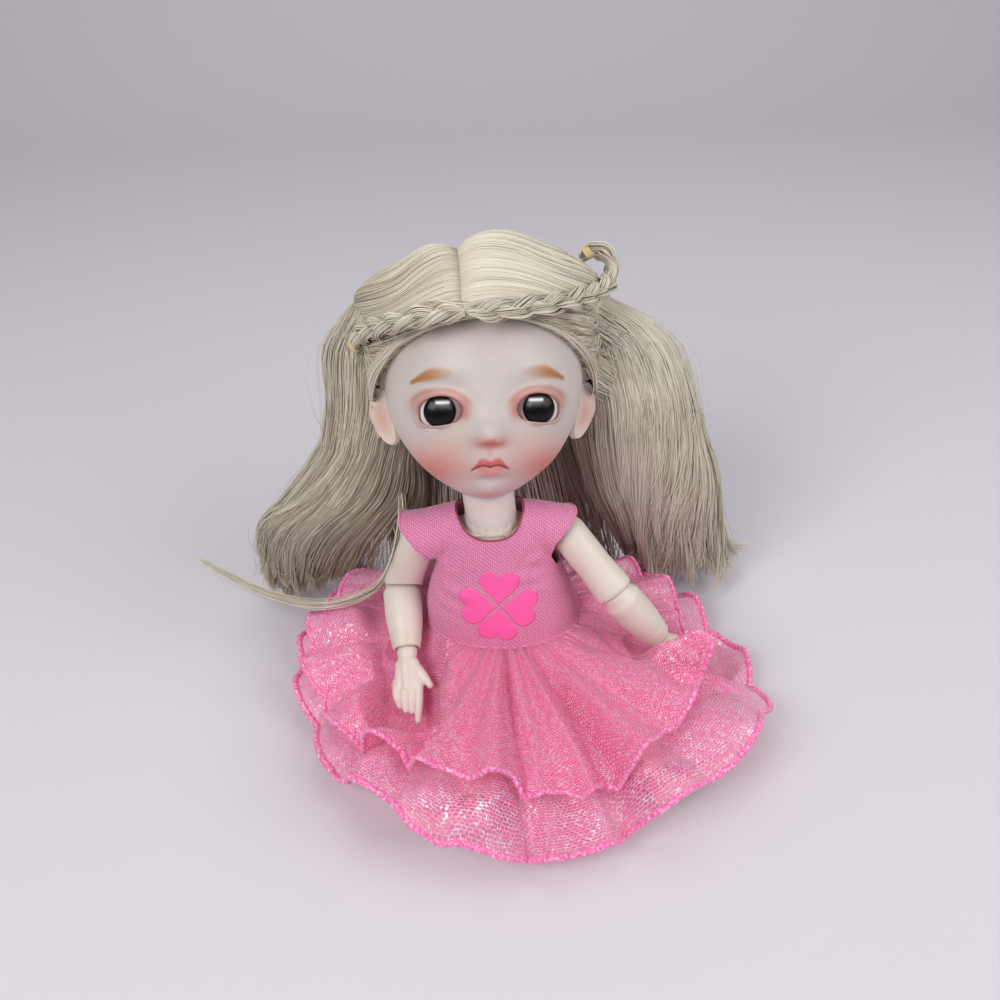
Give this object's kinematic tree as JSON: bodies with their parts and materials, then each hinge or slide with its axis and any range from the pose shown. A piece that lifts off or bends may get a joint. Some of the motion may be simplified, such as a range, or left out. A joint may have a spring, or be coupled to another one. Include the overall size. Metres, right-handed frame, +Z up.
{
  "type": "ball jointed doll",
  "caption": "Small resin ball jointed doll with glass eyes and a braided wig, seated in a jersey and tulle dress, strung so that head, arms and legs pose",
  "frame": {"origin": "on the floor under the pelvis, on its flat seat ridge", "axes": "+Z up, -Y the way the doll faces, +X towards its left side"},
  "size_m": [0.1328, 0.1086, 0.1163],
  "materials": {
    "skin_resin": "satin cast resin, faintly warm",
    "eye_glass": "black glossy eye",
    "putty": "soft white putty",
    "steel_wire": "bent wire and small magnets",
    "white_elastic": "round covered elastic",
    "wig_net": "wig net",
    "blonde_hair": "ash blonde mohair-like fibre",
    "hair_band": "small yellowish hair band",
    "pink_jersey": "fine pink jersey",
    "clover_print": "hot pink heat-pressed print",
    "glitter_tulle": "sheer pink net with glitter",
    "snap_metal": "small snap fastener"
  },
  "bodies": {
    "torso": {"torso": "skin_resin", "arm_elastic_chest": "white_elastic", "leg_elastic_trunk": "white_elastic", "bodice": "pink_jersey", "clover_print": "clover_print", "back_snap": "snap_metal", "sleeve_right": "pink_jersey", "sleeve_left": "pink_jersey", "skirt_upper_right": "glitter_tulle", "skirt_upper_left": "glitter_tulle", "skirt_lower_right": "glitter_tulle", "skirt_lower_left": "glitter_tulle", "hair_fall_right": "blonde_hair", "hair_fall_left": "blonde_hair", "hair_fall_back": "blonde_hair"},
    "neck": {"neck_hook": "steel_wire"},
    "head": {"head_shell": "skin_resin", "head_cap": "skin_resin", "shell_magnet": "steel_wire", "cap_magnet": "steel_wire", "wig_cap": "wig_net", "hair_crown": "blonde_hair", "eye_right": "eye_glass", "eye_left": "eye_glass", "eye_putty_right": "putty", "eye_putty_left": "putty", "hair_side_right": "blonde_hair", "hair_side_left": "blonde_hair", "braid_right": "blonde_hair", "braid_left": "blonde_hair", "braid_tie_right": "hair_band", "braid_tie_left": "hair_band"},
    "shoulder_right": {"shoulder_elastic_right": "white_elastic"},
    "upper_arm_right": {"upper_arm_right": "skin_resin", "upper_arm_elastic_right": "white_elastic"},
    "forearm_right": {"forearm_right": "skin_resin", "forearm_elastic_right": "white_elastic"},
    "wrist_right": {"hand_hook_right": "steel_wire"},
    "hand_right": {"hand_right": "skin_resin"},
    "hip_right": {"hip_elastic_right": "white_elastic"},
    "thigh_right": {"thigh_right": "skin_resin", "thigh_elastic_right": "white_elastic"},
    "shin_right": {"shin_right": "skin_resin", "shin_elastic_right": "white_elastic"},
    "ankle_right": {"foot_hook_right": "steel_wire"},
    "foot_right": {"foot_right": "skin_resin"},
    "shoulder_left": {"shoulder_elastic_left": "white_elastic"},
    "upper_arm_left": {"upper_arm_left": "skin_resin", "upper_arm_elastic_left": "white_elastic"},
    "forearm_left": {"forearm_left": "skin_resin", "forearm_elastic_left": "white_elastic"},
    "wrist_left": {"hand_hook_left": "steel_wire"},
    "hand_left": {"hand_left": "skin_resin"},
    "hip_left": {"hip_elastic_left": "white_elastic"},
    "thigh_left": {"thigh_left": "skin_resin", "thigh_elastic_left": "white_elastic"},
    "shin_left": {"shin_left": "skin_resin", "shin_elastic_left": "white_elastic"},
    "ankle_left": {"foot_hook_left": "steel_wire"},
    "foot_left": {"foot_left": "skin_resin"}
  },
  "joints": [
    {"name": "neck_turn", "type": "hinge", "parent": "torso", "child": "neck", "pos_m": [-0.00435, 0, 0.0622], "axis": [0, 0, 1], "range_deg": [-60, 60], "deforming": ["hair_fall_right", "hair_fall_left", "hair_fall_back"]},
    {"name": "neck_nod", "type": "hinge", "parent": "neck", "child": "head", "pos_m": [-0.00435, 0, 0.0622], "axis": [1, 0, 0], "range_deg": [-8, 34], "deforming": ["hair_side_right", "hair_side_left"]},
    {"name": "shoulder_swing_right", "type": "hinge", "parent": "torso", "child": "shoulder_right", "pos_m": [-0.02154, 0, 0.0435], "axis": [-1, 0, 0], "range_deg": [-45, 75], "deforming": ["sleeve_right"]},
    {"name": "shoulder_raise_right", "type": "hinge", "parent": "shoulder_right", "child": "upper_arm_right", "pos_m": [-0.02154, 0, 0.0435], "axis": [0, 1, 0], "range_deg": [0, 80]},
    {"name": "elbow_bend_right", "type": "hinge", "parent": "upper_arm_right", "child": "forearm_right", "pos_m": [-0.02766, 0.00326, 0.02495], "axis": [-0.9335, -0.2404, 0.266], "range_deg": [-73, 36]},
    {"name": "wrist_twist_right", "type": "hinge", "parent": "forearm_right", "child": "wrist_right", "pos_m": [-0.02618, -0.01218, 0.01622], "axis": [0.0835, -0.8672, -0.4909], "range_deg": [-80, 80]},
    {"name": "wrist_bend_right", "type": "hinge", "parent": "wrist_right", "child": "hand_right", "pos_m": [-0.02618, -0.01218, 0.01622], "axis": [0.9663, -0.0894, 0.2414], "range_deg": [-40, 40]},
    {"name": "hip_flex_right", "type": "hinge", "parent": "torso", "child": "hip_right", "pos_m": [-0.0095, 0.001, 0.008], "axis": [-1, 0, 0], "range_deg": [-90, 8], "deforming": ["skirt_upper_right", "skirt_lower_right"]},
    {"name": "hip_spread_right", "type": "hinge", "parent": "hip_right", "child": "thigh_right", "pos_m": [-0.0095, 0.001, 0.008], "axis": [0, 0, -1], "range_deg": [-3, 12]},
    {"name": "knee_bend_right", "type": "hinge", "parent": "thigh_right", "child": "shin_right", "pos_m": [-0.0095, -0.02598, 0.00709], "axis": [1, 0, 0], "range_deg": [0, 100]},
    {"name": "ankle_turn_right", "type": "hinge", "parent": "shin_right", "child": "ankle_right", "pos_m": [-0.0095, -0.05247, 0.0062], "axis": [0, -0.9994, -0.0336], "range_deg": [-30, 30]},
    {"name": "ankle_bend_right", "type": "hinge", "parent": "ankle_right", "child": "foot_right", "pos_m": [-0.0095, -0.05247, 0.0062], "axis": [0.1736, -0.0331, 0.9843], "range_deg": [-35, 35]},
    {"name": "shoulder_swing_left", "type": "hinge", "parent": "torso", "child": "shoulder_left", "pos_m": [0.01546, 0, 0.0435], "axis": [-1, 0, 0], "range_deg": [-45, 75], "deforming": ["sleeve_left"]},
    {"name": "shoulder_raise_left", "type": "hinge", "parent": "shoulder_left", "child": "upper_arm_left", "pos_m": [0.01546, 0, 0.0435], "axis": [0, -1, 0], "range_deg": [-5, 80]},
    {"name": "elbow_bend_left", "type": "hinge", "parent": "upper_arm_left", "child": "forearm_left", "pos_m": [0.02731, -0.0088, 0.0303], "axis": [0.7817, 0.142, 0.6072], "range_deg": [-21, 88]},
    {"name": "wrist_twist_left", "type": "hinge", "parent": "forearm_left", "child": "wrist_left", "pos_m": [0.03836, -0.01031, 0.01643], "axis": [0.6208, -0.085, -0.7793], "range_deg": [-80, 80]},
    {"name": "wrist_bend_left", "type": "hinge", "parent": "wrist_left", "child": "hand_left", "pos_m": [0.03836, -0.01031, 0.01643], "axis": [0.2704, -0.9488, 0.1629], "range_deg": [-40, 40]},
    {"name": "hip_flex_left", "type": "hinge", "parent": "torso", "child": "hip_left", "pos_m": [0.0095, 0.001, 0.008], "axis": [-1, 0, 0], "range_deg": [-90, 8], "deforming": ["skirt_upper_left", "skirt_lower_left"]},
    {"name": "hip_spread_left", "type": "hinge", "parent": "hip_left", "child": "thigh_left", "pos_m": [0.0095, 0.001, 0.008], "axis": [0, 0, 1], "range_deg": [-25, 23]},
    {"name": "knee_bend_left", "type": "hinge", "parent": "thigh_left", "child": "shin_left", "pos_m": [0.02175, -0.02304, 0.00709], "axis": [0.891, 0.454, 0], "range_deg": [0, 100]},
    {"name": "ankle_turn_left", "type": "hinge", "parent": "shin_left", "child": "ankle_left", "pos_m": [0.03377, -0.04664, 0.0062], "axis": [0.4537, -0.8905, -0.0336], "range_deg": [-30, 30]},
    {"name": "ankle_bend_left", "type": "hinge", "parent": "ankle_left", "child": "foot_left", "pos_m": [0.03377, -0.04664, 0.0062], "axis": [0.1089, 0.0929, -0.9897], "range_deg": [-35, 35]}
  ]
}
